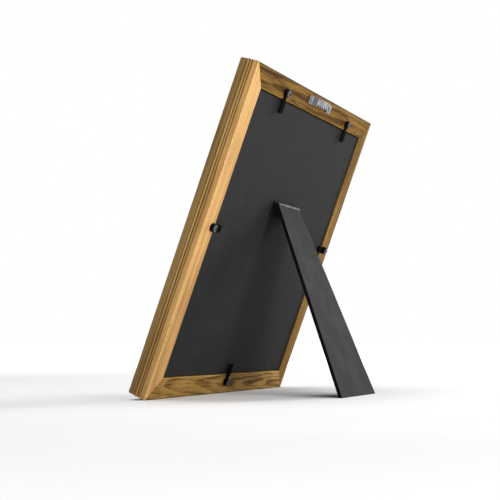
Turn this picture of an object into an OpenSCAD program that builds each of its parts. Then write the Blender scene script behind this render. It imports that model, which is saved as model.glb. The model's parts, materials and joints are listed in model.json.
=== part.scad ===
// Wooden easel-back photo frame. A mitred, rabbeted moulding holds a glazed picture package,
// five turn buttons keep the backing board in, and a hinged leg props the frame at a lean.
// Front of the frame faces -Y, the leg stands on the +Y side, and the floor is z = 0.

/* [Frame] */
// Width across the outer edges
frame_w = 235; // [190:1:320]
// Height along the lean, bottom edge to top edge
frame_h = 235; // [190:1:320]
// Depth of the moulding, front face to back face
frame_d = 14.3; // [11.5:0.5:20]
// Width of the moulding's front face
face_w = 21; // [20:0.5:30]
// Width of the moulding's back face, from the outer edge to the rabbet
back_w = 15.2; // [14:0.1:18.5]
// Lean of the frame from upright
lean = 20.6; // [12:0.2:28]

/* [Moulding profile] */
// Radius of the outer edge at the back
edge_r = 0.8; // [0.4:0.1:1.5]
// Chamfer of the outer edge at the front
front_c = 0.6; // [0.3:0.1:1.2]
// How far the side's front band falls inward at the front face
band_fall = 0.6; // [0.5:0.1:1.8]
// Step at the back of that band
band_step = 0.35; // [0.2:0.05:0.5]
// Depth of the front band, measured from the front face
band_d = 5.2; // [3:0.1:6]
// Radius of each bead on the side
bead_r = 0.95; // [0.7:0.05:1.1]
// Distance between the two beads
bead_pitch = 2.2; // [2:0.1:2.6]
// Depth of the recess that the beads stand in
bead_recess = 0.8; // [0.4:0.05:0.9]
// Fall of the front face towards the sight edge
face_fall = 1.4; // [0.6:0.1:1.8]
// Width of the level strip on the front face, next to the outer edge
face_level = 8; // [5:0.5:12]
// Glue line on each side of a mitre
mitre_gap = 0.05; // [0.03:0.01:0.1]

/* [Picture package] */
// Thickness of the glass
glass_t = 2; // [1.5:0.1:2.5]
// Thickness of the window mat
mat_t = 1.4; // [1:0.1:2]
// Side of the mat's square window, measured at the picture
mat_window = 120; // [80:1:130]
// Thickness of the print
print_t = 0.3; // [0.2:0.1:0.5]
// Side of the square print
print_w = 127; // [120:1:140]
// Thickness of the filler card
filler_t = 1.2; // [0.8:0.1:1.6]
// Thickness of the backing board
board_t = 3; // [2.4:0.1:3.4]
// How far the backing board sits below the moulding's back face
board_recess = 1.2; // [0.6:0.1:1.4]
// Gap between the sheets
sheet_gap = 0.1; // [0.05:0.05:0.15]
// Gap between the sheets and the rabbet's wall
sheet_clear = 0.8; // [0.5:0.1:1.2]

/* [Corner dowels] */
// Radius of a corner dowel
dowel_r = 2; // [1.5:0.1:2.2]
// Length of a corner dowel
dowel_len = 12; // [9:0.5:13]
// Distance of each dowel from the two outer edges
dowel_in = 8; // [7.5:0.1:8.2]
// Distance of each dowel's axis below the back face
dowel_down = 5; // [4:0.1:5.5]
// Glue film around a dowel
dowel_clear = 0.05; // [0.03:0.01:0.1]

/* [Turn buttons] */
// Length of the top and bottom buttons, from the screw's axis to the tip
button_len = 14.5; // [13:0.1:17]
// Length of the side buttons, from the screw's axis to the tip
side_button_len = 11.5; // [11:0.1:17]
// Thickness of a button
button_t = 1.4; // [1:0.1:1.6]
// Radius of a button's eye
eye_r = 3; // [2.8:0.1:3.5]
// Width of a button's finger
finger_w = 5.4; // [4:0.1:6]
// Radius of the finger's corners
finger_corner = 1; // [0.5:0.1:1.8]
// Width of the neck between eye and finger
neck_w = 2.8; // [2.4:0.1:3.4]
// Play above and below a button
button_play = 0.15; // [0.1:0.05:0.3]
// Distance of the two top screws from the frame's middle
top_button_x = 63.5; // [45:0.5:75]
// Distance of the top screws from the outer edge
top_button_in = 10.5; // [8.5:0.1:11]
// Distance of the side screws from the outer edge
side_button_in = 11.6; // [8.5:0.1:12]
// Height of the side screws above the middle of the stile
side_button_rise = 5; // [-20:1:20]
// Distance of the bottom screw from the outer edge
bottom_button_in = 9.5; // [8.5:0.1:11]

/* [Button screws] */
// Radius of a screw's head
screw_head_r = 2.65; // [2.4:0.05:3]
// Height of a screw's head
screw_head_h = 2.3; // [1.8:0.1:2.6]
// Height of the head's straight side, under its dome
screw_rim_h = 1.3; // [0.4:0.1:1.5]
// Radius of a screw's shank
screw_r = 1.3; // [1.1:0.05:1.5]
// Depth of a screw in the wood
screw_depth = 8; // [6:0.1:8.5]
// Radial clearance of a button on its screw
screw_fit = 0.08; // [0.03:0.01:0.1]

/* [Sawtooth hanger] */
// Length of the hanger
hanger_len = 45; // [40:0.5:50]
// Width of its strip
hanger_w = 6.3; // [5.5:0.1:7]
// Distance of the strip from the frame's top edge
hanger_in = 3.2; // [2.5:0.1:4]
// Thickness of its sheet
hanger_t = 0.8; // [0.6:0.1:1]
// Height of the raised middle over the wood
hanger_rise = 2.2; // [1.2:0.1:2.5]
// Length of each flat end
hanger_tab = 7.5; // [6:0.5:9]
// Length of each slope up to the middle
hanger_slope = 3.5; // [2:0.1:4]
// Number of teeth
teeth = 5; // [5:1:8]
// Depth of the teeth
tooth_d = 2.6; // [1.2:0.1:2.8]
// Radius of a hanger nail
nail_r = 0.75; // [0.6:0.05:0.9]
// Radius of its head
nail_head_r = 1.7; // [1.4:0.1:2.2]
// Length of a nail in the wood
nail_len = 8; // [6:0.5:9]

/* [Leg] */
// Height of the leg's hinge axis, along the frame
hinge_h = 150; // [120:1:165]
// Angle of the open leg from upright
splay = 21.2; // [12:0.2:28]
// Thickness of the leg
leg_t = 2.5; // [2.4:0.1:4]
// Width of the leg at its top
leg_top_w = 40.8; // [40.4:0.1:50]
// Width of the leg at its foot
leg_foot_w = 74.3; // [55:0.1:90]

/* [Leg hinge] */
// Length of the hinge's barrel and leaves
hinge_w = 40; // [34:0.5:40]
// Radius of the barrel
barrel_r = 1.2; // [1.1:0.05:1.5]
// Radius of the hinge pin
pin_r = 0.6; // [0.45:0.05:0.7]
// Radial clearance of the pin
pin_fit = 0.05; // [0.02:0.01:0.1]
// Thickness of a leaf
leaf_t = 0.45; // [0.4:0.05:0.6]
// Length of a leaf below the axis
leaf_len = 11; // [10:0.5:16]
// Number of knuckles
knuckles = 5; // [5:2:7]
// Gap between the two leaves, and between a knuckle and its neighbours
hinge_gap = 0.3; // [0.2:0.05:0.4]
// Gap between the barrel and the backing board
barrel_clear = 0.25; // [0.2:0.05:0.4]
// Height of the leaf's flange on the back of the leg
flange_h = 2; // [1:0.1:3]
// Gap left at the lip that stops the leg
stop_gap = 0.15; // [0.1:0.05:0.25]

/* [Hidden] */
$fn = 64;
cut = 1;   // how far a cutting shape runs past the face it cuts

wood_light = [0.80, 0.60, 0.35];
wood_dark = [0.52, 0.38, 0.20];
black_metal = [0.06, 0.06, 0.065];
black_board = [0.17, 0.17, 0.17];
leg_black = [0.22, 0.22, 0.22];
steel = [0.66, 0.67, 0.68];
clear_glass = [0.8, 0.9, 0.88, 0.35];
mat_white = [0.95, 0.94, 0.90];
print_blue = [0.55, 0.66, 0.72];
card_grey = [0.86, 0.84, 0.80];

// Depths of the picture package, measured from the moulding's back face towards the front
board_top = board_recess;
filler_top = board_top + board_t + sheet_gap;
print_top = filler_top + filler_t + sheet_gap;
mat_top = print_top + print_t + sheet_gap;
glass_top = mat_top + mat_t + sheet_gap;
rabbet_d = glass_top + glass_t;
lip_t = frame_d - rabbet_d;
sheet_w = frame_w - 2 * back_w - 2 * sheet_clear;
sheet_h = frame_h - 2 * back_w - 2 * sheet_clear;

// Beads on the moulding's side
bead_strip = 0.2;      // floor of the recess left in front of the first bead
recess_strip = 0.4;    // and behind the second one
bead_1 = band_d + bead_r + bead_strip;
bead_2 = bead_1 + bead_pitch;
recess_end = bead_2 + bead_r + recess_strip;

// Hinge: heights over the board's back face, and the axis in the frame
axis_rise = barrel_r + barrel_clear;
axis_d = axis_rise - board_recess;
leaf_in = leaf_t + hinge_gap - axis_rise;      // the leg leaf's face next to the board, from the axis
leg_in = leaf_in + leaf_t;                     // the leg's inner face, from the axis
leg_out = leg_in + leg_t;
channel_z = barrel_r + hinge_gap;              // the channel's top, below the axis
leg_start = channel_z + leaf_t;                // the leg's top end, below the axis
open_angle = lean + splay;
lip_reach = (axis_rise - stop_gap - leaf_t / 2 * cos(open_angle)) / sin(open_angle);
lip_z = barrel_r - leaf_t / 2;                  // the lip starts inside the barrel's wall
knuckle_w = hinge_w / knuckles;

// Inward fall of the side's front band for each millimetre of depth
band_slope = (band_fall - band_step) / band_d;

// Fasteners of the hinge leaves
rivet_r = 1.2;
rivet_head_r = 2;
rivet_head_t = 0.2;
rivet_tail_r = 2.4;
rivet_tail_t = 0.4;
rivet_x = 16;
rivet_down = 7.5;
tack_r = 0.8;
tack_head_r = 1.5;
tack_depth = 1.8;
tack_down = 6;
TACKS = [-10.6, -5.3, 5.3, 10.6];
fastener_clear = 0.05;

// Turn buttons: x, height along the frame, the way the finger points, and the length
BUTTONS = [
    [-top_button_x, frame_h - top_button_in, 90, button_len],
    [top_button_x, frame_h - top_button_in, 90, button_len],
    [side_button_in - frame_w / 2, frame_h / 2 + side_button_rise, 0, side_button_len],
    [frame_w / 2 - side_button_in, frame_h / 2 + side_button_rise, 180, side_button_len],
    [0, bottom_button_in, -90, button_len]
];

// Hanger: the strip's middle line, and its nails' distance from the frame's middle
hanger_mid = frame_h - hanger_in - hanger_w / 2;
nail_x = hanger_len / 2 - hanger_tab / 2;

// Standing pose: the frame's rounded back edge and the leg's foot both touch the floor
rest_drop = edge_r * (cos(lean) + sin(lean) - 1);
axis_y = hinge_h * sin(lean) + axis_d * cos(lean);
axis_z = hinge_h * cos(lean) - axis_d * sin(lean) - rest_drop;
foot_in = (axis_z + leg_in * sin(splay)) / cos(splay);
foot_out = (axis_z + leg_out * sin(splay)) / cos(splay);
front_y = (band_fall + front_c) * sin(lean) - frame_d * cos(lean);
back_y = axis_y + leg_out * cos(splay) + foot_out * sin(splay);
mid_y = (front_y + back_y) / 2;

// Frame coordinates: x across, y out of the back face, z up along the lean
module in_frame() {
    translate([0, -mid_y, -rest_drop]) rotate([-lean, 0, 0]) children();
}

// Leg coordinates: the hinge axis is x, y is out of the leg's back, the leg hangs along -z
module in_leg() {
    in_frame() translate([0, axis_d, hinge_h]) rotate([open_angle, 0, 0]) children();
}

// Places a shape drawn with z out of the back face, its origin on the back face
module on_back(x, h) {
    translate([x, 0, h]) rotate([-90, 0, 0]) children();
}

// A sheet of the picture package, its back face at the given depth
module sheet(w, h, t, depth) {
    translate([-w / 2, -depth - t, frame_h / 2 - h / 2]) cube([w, t, h]);
}

// Moulding section without its beads: x runs from the outer edge inward, y from front to back
module section() {
    polygon([[band_fall + front_c, 0], [band_fall - band_slope * front_c, front_c],
        [band_step, band_d], [bead_recess, band_d], [bead_recess, recess_end],
        [0, recess_end], [0, frame_d], [back_w, frame_d], [back_w, lip_t],
        [face_w, lip_t], [face_w, face_fall], [face_level, 0]]);
}

// A straight length of moulding, with its beads and its rounded back edge
module straight_moulding(len) {
    difference() {
        union() {
            linear_extrude(len) section();
            for (y = [bead_1, bead_2]) translate([bead_r, y, 0]) cylinder(h = len, r = bead_r);
        }
        difference() {
            translate([-cut, frame_d - edge_r, -cut]) cube([edge_r + cut, edge_r + cut, len + 2 * cut]);
            translate([edge_r, frame_d - edge_r, -2 * cut]) cylinder(h = len + 4 * cut, r = edge_r);
        }
    }
}

// A length of moulding with mitred ends, centred on x, its outer edge at z = 0
module moulding(len) {
    half = len / 2 - mitre_gap * sqrt(2);
    intersection() {
        translate([len / 2, -frame_d, 0]) rotate([0, -90, 0]) straight_moulding(len);
        translate([0, cut, 0]) rotate([90, 0, 0]) linear_extrude(frame_d + 2 * cut)
            polygon([[-half, 0], [half, 0], [half - face_w, face_w], [face_w - half, face_w]]);
    }
}

// Turns what is drawn for the bottom rail onto a side: 0 bottom, 1 right, 2 top, 3 left
module on_side(side) {
    translate([0, 0, frame_h / 2]) rotate([0, -90 * side, 0])
        translate([0, 0, side % 2 == 0 ? -frame_h / 2 : -frame_w / 2]) children();
}

// Puts a dowel shape across each corner's mitre
module at_corners() {
    for (x = [-1, 1], z = [-1, 1])
        translate([x * (frame_w / 2 - dowel_in), -dowel_down, frame_h / 2 + z * (frame_h / 2 - dowel_in)])
            rotate([0, -x * z * 45, 0]) children();
}

module dowel(clear) {
    translate([0, 0, -dowel_len / 2 - clear])
        cylinder(h = dowel_len + 2 * clear, r = dowel_r + clear);
}

// Pilot holes of the screws and nails that go into the moulding
module pilot_holes() {
    for (b = BUTTONS) on_back(b[0], b[1])
        translate([0, 0, -screw_depth - fastener_clear])
            cylinder(h = screw_depth + fastener_clear + cut, r = screw_r + fastener_clear);
    for (x = [-1, 1]) on_back(x * nail_x, hanger_mid)
        translate([0, 0, -nail_len - fastener_clear])
            cylinder(h = nail_len + fastener_clear + cut, r = nail_r + fastener_clear);
}

module frame_side(side, colour) {
    color(colour) in_frame() difference() {
        on_side(side) moulding(side % 2 == 0 ? frame_w : frame_h);
        at_corners() dowel(dowel_clear);
        pilot_holes();
    }
}

module rail_bottom() { frame_side(0, wood_dark); }

module stile_right() { frame_side(1, wood_light); }

module rail_top() { frame_side(2, wood_dark); }

module stile_left() { frame_side(3, wood_dark); }

module corner_dowels() {
    color(wood_light) in_frame() at_corners() dowel(0);
}

module glass_pane() {
    color(clear_glass) in_frame() sheet(sheet_w, sheet_h, glass_t, glass_top);
}

// Waste of the mat's window across one direction, wider towards the glass
module window_waste() {
    back = mat_window / 2 - cut;
    front = mat_window / 2 + mat_t + cut;
    translate([0, cut, -frame_w / 2]) linear_extrude(frame_w)
        polygon([[-back, 0], [back, 0], [front, -mat_t - 2 * cut], [-front, -mat_t - 2 * cut]]);
}

// Card with a square window whose edges are cut at 45 degrees
module window_mat() {
    color(mat_white) in_frame() difference() {
        sheet(sheet_w, sheet_h, mat_t, mat_top);
        translate([0, -mat_top, frame_h / 2]) intersection() {
            window_waste();
            rotate([0, 90, 0]) window_waste();
        }
    }
}

module picture_print() {
    color(print_blue) in_frame() sheet(print_w, print_w, print_t, print_top);
}

module filler_card() {
    color(card_grey) in_frame() sheet(sheet_w, sheet_h, filler_t, filler_top);
}

module backing_board() {
    color(black_board) in_frame() difference() {
        sheet(sheet_w, sheet_h, board_t, board_top);
        for (x = [-1, 0, 1]) on_back(x * rivet_x, hinge_h - rivet_down) {
            translate([0, 0, -board_top - board_t - cut])
                cylinder(h = board_t + 2 * cut, r = rivet_r + fastener_clear);
            translate([0, 0, -board_top - board_t - cut])
                cylinder(h = cut + rivet_tail_t + fastener_clear, r = rivet_tail_r + fastener_clear);
        }
    }
}

// One turn button, flat above the wood; its finger points along x before it is turned
module turn_button(b) {
    neck_len = 2;
    neck_end = eye_r + neck_len;
    flat_w = finger_w - 2 * finger_corner;
    flat_len = b[3] - neck_end - 2 * finger_corner;
    color(black_metal) in_frame() on_back(b[0], b[1]) rotate([0, 0, b[2]])
        translate([0, 0, button_play]) difference() {
            linear_extrude(button_t) {
                circle(r = eye_r);
                translate([0, -neck_w / 2]) square([neck_end + finger_corner, neck_w]);
                translate([neck_end + finger_corner, -finger_w / 2]) square([flat_len, finger_w]);
                translate([neck_end, -flat_w / 2]) square([b[3] - neck_end, flat_w]);
                for (x = [0, flat_len], y = [-flat_w / 2, flat_w / 2])
                    translate([neck_end + finger_corner + x, y]) circle(r = finger_corner);
            }
            translate([0, 0, -cut]) cylinder(h = button_t + 2 * cut, r = screw_r + screw_fit);
        }
}

// Round-head screw: its point in the wood, its domed head over the button
module button_screw() {
    head_z = button_t + 2 * button_play;
    rise = screw_head_h - screw_rim_h;
    dome_r = (screw_head_r * screw_head_r + rise * rise) / (2 * rise);
    point = 1.8;
    tip_r = 0.2;
    slot_w = 0.5;
    slot_d = 0.9;
    difference() {
        union() {
            translate([0, 0, -screw_depth]) cylinder(h = point, r1 = tip_r, r2 = screw_r);
            translate([0, 0, point - screw_depth])
                cylinder(h = screw_depth - point + head_z, r = screw_r);
            translate([0, 0, head_z]) intersection() {
                cylinder(h = screw_head_h, r = screw_head_r);
                translate([0, 0, screw_head_h - dome_r]) sphere(r = dome_r);
            }
        }
        for (turn = [45, 135]) translate([0, 0, head_z + screw_head_h]) rotate([0, 0, turn])
            cube([2 * screw_r, slot_w, 2 * slot_d], center = true);
    }
}

module button_screws() {
    color(black_metal) in_frame() for (b = BUTTONS) on_back(b[0], b[1]) button_screw();
}

// Steel strip with flat nailed ends and a raised middle, its lower edge cut into teeth
module sawtooth_hanger() {
    end = hanger_len / 2;
    foot = end - hanger_tab;
    top = foot - hanger_slope;
    corner = 1.2;
    plain = 1;   // left between the outer teeth and the slopes
    notch = 0.88;   // a notch's share of the pitch
    pitch = 2 * (top - plain) / teeth;
    tooth_half = notch * pitch / 2;
    color(steel) in_frame() translate([0, 0, hanger_mid]) difference() {
        intersection() {
            translate([0, 0, -hanger_w / 2]) linear_extrude(hanger_w)
                polygon([[-end, 0], [-foot, 0], [-top, hanger_rise], [top, hanger_rise],
                    [foot, 0], [end, 0], [end, hanger_t], [foot, hanger_t],
                    [top, hanger_rise + hanger_t], [-top, hanger_rise + hanger_t],
                    [-foot, hanger_t], [-end, hanger_t]]);
            rotate([-90, 0, 0]) translate([0, 0, -cut])
                linear_extrude(hanger_rise + hanger_t + 2 * cut) {
                    square([hanger_len - 2 * corner, hanger_w], center = true);
                    square([hanger_len, hanger_w - 2 * corner], center = true);
                    for (x = [-1, 1], y = [-1, 1])
                        translate([x * (end - corner), y * (hanger_w / 2 - corner)])
                            circle(r = corner);
                }
        }
        for (i = [0 : teeth - 1])
            translate([(i - (teeth - 1) / 2) * pitch, -cut, -hanger_w / 2])
                rotate([-90, 0, 0]) linear_extrude(hanger_rise + hanger_t + 2 * cut)
                    polygon([[-tooth_half, cut], [-tooth_half, 0], [0, -tooth_d],
                        [tooth_half, 0], [tooth_half, cut]]);
        for (x = [-1, 1]) translate([x * nail_x, 0, 0]) rotate([-90, 0, 0])
            translate([0, 0, -cut]) cylinder(h = hanger_t + 2 * cut, r = nail_r + fastener_clear);
    }
}

module hanger_nails() {
    head_t = 0.7;
    point = 1.2;
    tip_r = 0.15;
    crown = 0.7;   // the crown's share of the head's radius
    color(steel) in_frame() for (x = [-1, 1]) on_back(x * nail_x, hanger_mid) {
        translate([0, 0, -nail_len]) cylinder(h = point, r1 = tip_r, r2 = nail_r);
        translate([0, 0, point - nail_len]) cylinder(h = nail_len - point + hanger_t, r = nail_r);
        translate([0, 0, hanger_t]) cylinder(h = head_t / 2, r = nail_head_r);
        translate([0, 0, hanger_t + head_t / 2])
            cylinder(h = head_t / 2, r1 = nail_head_r, r2 = crown * nail_head_r);
    }
}

// Rings of one leaf's knuckles, with the bore for the pin; first is the first knuckle's number
module knuckle_rings(first) {
    for (k = [first : 2 : knuckles - 1])
        translate([k * knuckle_w - hinge_w / 2 + hinge_gap / 2, 0, 0]) rotate([0, 90, 0])
            cylinder(h = knuckle_w - hinge_gap, r = barrel_r);
}

// One leaf in leg coordinates: y from y0, with tongues that reach up into its own knuckles
module leaf(first, y0, tongue_z) {
    difference() {
        union() {
            knuckle_rings(first);
            translate([-hinge_w / 2, y0, -leaf_len]) cube([hinge_w, leaf_t, leaf_len - channel_z]);
            for (k = [first : 2 : knuckles - 1])
                translate([k * knuckle_w - hinge_w / 2 + hinge_gap / 2, y0, -channel_z - leaf_t])
                    cube([knuckle_w - hinge_gap, leaf_t, channel_z + leaf_t - tongue_z]);
        }
        translate([-hinge_w / 2 - cut, 0, 0]) rotate([0, 90, 0])
            cylinder(h = hinge_w + 2 * cut, r = pin_r + pin_fit);
    }
}

module hinge_leaf_board() {
    color(steel) in_frame() difference() {
        translate([0, axis_d, hinge_h]) leaf(1, -axis_rise, 0);
        for (x = [-1, 0, 1]) on_back(x * rivet_x, hinge_h - rivet_down)
            translate([0, 0, -board_recess - cut])
                cylinder(h = leaf_t + 2 * cut, r = rivet_r + fastener_clear);
    }
}

module board_rivets() {
    color(steel) in_frame() for (x = [-1, 0, 1]) on_back(x * rivet_x, hinge_h - rivet_down) {
        translate([0, 0, -board_top - board_t]) cylinder(h = board_t + leaf_t, r = rivet_r);
        translate([0, 0, -board_top - board_t]) cylinder(h = rivet_tail_t, r = rivet_tail_r);
        translate([0, 0, leaf_t - board_recess]) cylinder(h = rivet_head_t, r = rivet_head_r);
    }
}

// Pin with a flattened head at each end of the barrel
module hinge_pin() {
    head_t = 0.4;
    head_r = 1.1;
    color(steel) in_frame() translate([-hinge_w / 2, axis_d, hinge_h]) rotate([0, 90, 0]) {
        cylinder(h = hinge_w, r = pin_r);
        translate([0, 0, -head_t]) cylinder(h = head_t, r = head_r);
        translate([0, 0, hinge_w]) cylinder(h = head_t, r = head_r);
    }
}

// The leg's leaf, folded over the leg's top end as a channel; a lip on its middle knuckle
// meets the backing board when the leg is fully open
module hinge_leaf_leg() {
    middle = 2 * floor(knuckles / 4);
    color(steel) in_leg() difference() {
        union() {
            leaf(0, leaf_in, barrel_r / 2);
            translate([-hinge_w / 2, leaf_in, -leg_start])
                cube([hinge_w, leg_out + leaf_t - leaf_in, leaf_t]);
            translate([-hinge_w / 2, leg_out, -channel_z - flange_h])
                cube([hinge_w, leaf_t, flange_h]);
            translate([middle * knuckle_w - hinge_w / 2 + hinge_gap / 2, -leaf_t / 2, lip_z])
                cube([knuckle_w - hinge_gap, leaf_t, lip_reach - lip_z]);
        }
        for (x = TACKS) translate([x, leaf_in - cut, -tack_down])
            rotate([-90, 0, 0]) cylinder(h = leaf_t + 2 * cut, r = tack_r + fastener_clear);
    }
}

module leg_tacks() {
    color(steel) in_leg() for (x = TACKS)
        translate([x, leaf_in, -tack_down]) rotate([-90, 0, 0]) {
            translate([0, 0, -rivet_head_t]) cylinder(h = rivet_head_t, r = tack_head_r);
            cylinder(h = leaf_t + tack_depth, r = tack_r);
        }
}

// Tapered leg, its foot cut level with the floor
module easel_leg() {
    color(leg_black) in_leg() difference() {
        intersection() {
            translate([-leg_foot_w, 0, 0]) rotate([90, 0, 90]) linear_extrude(2 * leg_foot_w)
                polygon([[leg_in, -leg_start], [leg_out, -leg_start],
                    [leg_out, -foot_out], [leg_in, -foot_in]]);
            rotate([90, 0, 0]) translate([0, 0, -leg_out - cut]) linear_extrude(leg_t + 2 * cut)
                polygon([[-leg_top_w / 2, -leg_start], [leg_top_w / 2, -leg_start],
                    [leg_foot_w / 2, -foot_out], [-leg_foot_w / 2, -foot_out]]);
        }
        for (x = TACKS) translate([x, leg_in - cut, -tack_down])
            rotate([-90, 0, 0])
                cylinder(h = cut + tack_depth + fastener_clear, r = tack_r + fastener_clear);
    }
}

stile_left();
stile_right();
rail_top();
rail_bottom();
corner_dowels();
glass_pane();
window_mat();
picture_print();
filler_card();
backing_board();
turn_button(BUTTONS[0]);  // turn_button_top_left
turn_button(BUTTONS[1]);  // turn_button_top_right
turn_button(BUTTONS[2]);  // turn_button_side_left
turn_button(BUTTONS[3]);  // turn_button_side_right
turn_button(BUTTONS[4]);  // turn_button_bottom
button_screws();
sawtooth_hanger();
hanger_nails();
hinge_leaf_board();
board_rivets();
hinge_pin();
hinge_leaf_leg();
leg_tacks();
easel_leg();
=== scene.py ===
"""Looks of an easel-back wooden photo frame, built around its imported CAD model."""

import json
import logging
import math
from dataclasses import dataclass, field
from enum import Enum
from typing import Callable, Iterable, Sequence

import bmesh
import bpy
from mathutils import Matrix, Vector


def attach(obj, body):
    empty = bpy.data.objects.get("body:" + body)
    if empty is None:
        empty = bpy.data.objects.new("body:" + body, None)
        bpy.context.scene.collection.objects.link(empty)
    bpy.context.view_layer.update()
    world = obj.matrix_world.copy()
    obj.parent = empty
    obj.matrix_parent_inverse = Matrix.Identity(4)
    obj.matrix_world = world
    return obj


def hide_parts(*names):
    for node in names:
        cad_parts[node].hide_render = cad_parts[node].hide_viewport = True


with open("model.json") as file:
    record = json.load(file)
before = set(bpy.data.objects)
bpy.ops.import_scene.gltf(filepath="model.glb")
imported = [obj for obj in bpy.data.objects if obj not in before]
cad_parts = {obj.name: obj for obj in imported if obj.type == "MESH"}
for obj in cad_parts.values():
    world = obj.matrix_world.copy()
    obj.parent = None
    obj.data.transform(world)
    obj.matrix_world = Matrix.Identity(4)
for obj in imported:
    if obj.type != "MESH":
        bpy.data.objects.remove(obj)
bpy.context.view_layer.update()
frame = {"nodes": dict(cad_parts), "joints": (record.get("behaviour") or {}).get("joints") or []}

MM = 0.001
# The 'edge' mask marks worn edges and painted highlights; the 'tone' mask marks painted shade and dark
# painted edges.
WEAR_AND_HIGHLIGHT_MASK = "edge"
SHADE_AND_DARK_EDGE_MASK = "tone"
log = logging.getLogger("photo_frame")

Colour = tuple[float, float, float]
Triple = tuple[float, float, float]
Socket = bpy.types.NodeSocket


class Body(Enum):
    """CAD bodies that pieces ride on."""

    FRAME = "frame"
    LEG = "leg"
    BUTTON_TOP_LEFT = "button_top_left"
    BUTTON_TOP_RIGHT = "button_top_right"
    BUTTON_SIDE_LEFT = "button_side_left"
    BUTTON_SIDE_RIGHT = "button_side_right"
    BUTTON_BOTTOM = "button_bottom"


class Axis(Enum):
    """Which way the grain runs on a length of wood, in frame coordinates."""

    ACROSS = 0
    UPRIGHT = 1


# ---------------------------------------------------------------------------------------------
# Places taken from the CAD model


class Places:
    """Frame and leg coordinates, read from the CAD model's joints and nodes."""

    def __init__(self) -> None:
        """Works out the two coordinate systems.

        Frame coordinates are x across, y out of the back face and z up along the lean, from the
        middle of the back face's lower edge. Leg coordinates hang from the hinge axis, y out of
        the leg's back.
        """
        self.joints = {j["name"]: j for j in frame["joints"]}
        out = Vector(self.joints["turn_bottom"]["axis"])
        self.lean = math.atan2(-out.z, out.y)
        turn = Matrix.Rotation(-self.lean, 4, "X")
        up = turn @ Vector((0, 0, 1))
        back = max(p.dot(out) for p in self.points("rail_bottom"))
        low = min(p.dot(up) for p in self.points("rail_bottom"))
        self.frame = Matrix.Translation(out * back + up * low) @ turn
        leg_out = self.largest_face("easel_leg")
        splay = math.atan2(leg_out.z, leg_out.y)
        hinge = Vector(self.joints["leg_fold"]["pos_m"])
        self.leg = Matrix.Translation(hinge) @ Matrix.Rotation(splay, 4, "X")

    @staticmethod
    def points(node: str) -> list[Vector]:
        """Vertices of a CAD node in the row frame."""
        return [v.co.copy() for v in frame["nodes"][node].data.vertices]

    @staticmethod
    def largest_face(node: str) -> Vector:
        """Normal of a node's largest triangle that faces +Y."""
        faces = [p for p in frame["nodes"][node].data.polygons if p.normal.y > 0]
        return max(faces, key=lambda p: p.area).normal.copy()

    def box(self, node: str, system: Matrix) -> tuple[Vector, Vector]:
        """Lowest and highest corner of a node in frame or leg coordinates.

        Args:
            node: Name of the CAD node.
            system: The coordinate system, self.frame or self.leg.

        Returns:
            The two corners.
        """
        back = system.inverted()
        inside = [back @ p for p in self.points(node)]
        low = Vector(min(p[i] for p in inside) for i in range(3))
        high = Vector(max(p[i] for p in inside) for i in range(3))
        return low, high


PLACES = Places()


# ---------------------------------------------------------------------------------------------
# Node trees


class Tree:
    """Adds nodes to one node tree and wires them."""

    def __init__(self, tree: bpy.types.NodeTree) -> None:
        """Keeps the tree that is being built."""
        self.tree = tree

    def add(self, kind: str, ins: dict | None = None, **settings: object) -> bpy.types.Node:
        """Adds a node.

        Args:
            kind: Blender's type of the node.
            ins: Value or source socket for each input, by name or number.
            settings: Attributes of the node.

        Returns:
            The new node.
        """
        node = self.tree.nodes.new(kind)
        for key, value in settings.items():
            setattr(node, key, value)
        for key, value in (ins or {}).items():
            if isinstance(value, Socket):
                self.tree.links.new(value, node.inputs[key])
            else:
                node.inputs[key].default_value = value
        return node

    def math(self, operation: str, *values: object, clamp: bool = False) -> Socket:
        """Result of a Math node on values or sockets."""
        ins = dict(enumerate(values))
        return self.add("ShaderNodeMath", ins, operation=operation, use_clamp=clamp).outputs[0]

    def vector(self, operation: str, *values: object) -> Socket:
        """Vector result of a Vector Math node."""
        node = self.add("ShaderNodeVectorMath", dict(enumerate(values)), operation=operation)
        return node.outputs[0]

    def mix(self, share: object, a: object, b: object, blend: str = "MIX") -> Socket:
        """Colour mixed from a to b by share."""
        a, b = (v if isinstance(v, Socket) else (*v, 1.0)[:4] for v in (a, b))
        node = self.add("ShaderNodeMix", data_type="RGBA", blend_type=blend)
        for number, value in ((0, share), (6, a), (7, b)):
            if isinstance(value, Socket):
                self.tree.links.new(value, node.inputs[number])
            else:
                node.inputs[number].default_value = value
        return node.outputs[2]

    def ramp(self, value: object, low: float, high: float, a: float = 0.0, b: float = 1.0) -> Socket:
        """Value carried smoothly from low..high to a..b, held at the ends."""
        ins = {"Value": value, "From Min": low, "From Max": high, "To Min": a, "To Max": b}
        return self.add("ShaderNodeMapRange", ins, interpolation_type="SMOOTHSTEP").outputs[0]

    def noise(self, vector: object, scale: float, detail: float = 2.0, rough: float = 0.5) -> Socket:
        """Noise value from 0 to 1."""
        ins = {"Vector": vector, "Scale": scale, "Detail": detail, "Roughness": rough}
        return self.add("ShaderNodeTexNoise", ins).outputs[0]

    def mapped(self, vector: object, move: Sequence[float] = (0, 0, 0),
               turn: Sequence[float] = (0, 0, 0), scale: Sequence[float] = (1, 1, 1)) -> Socket:
        """Vector scaled, turned and moved by a Mapping node."""
        ins = {"Vector": vector, "Location": move, "Rotation": turn, "Scale": scale}
        return self.add("ShaderNodeMapping", ins).outputs[0]


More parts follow.
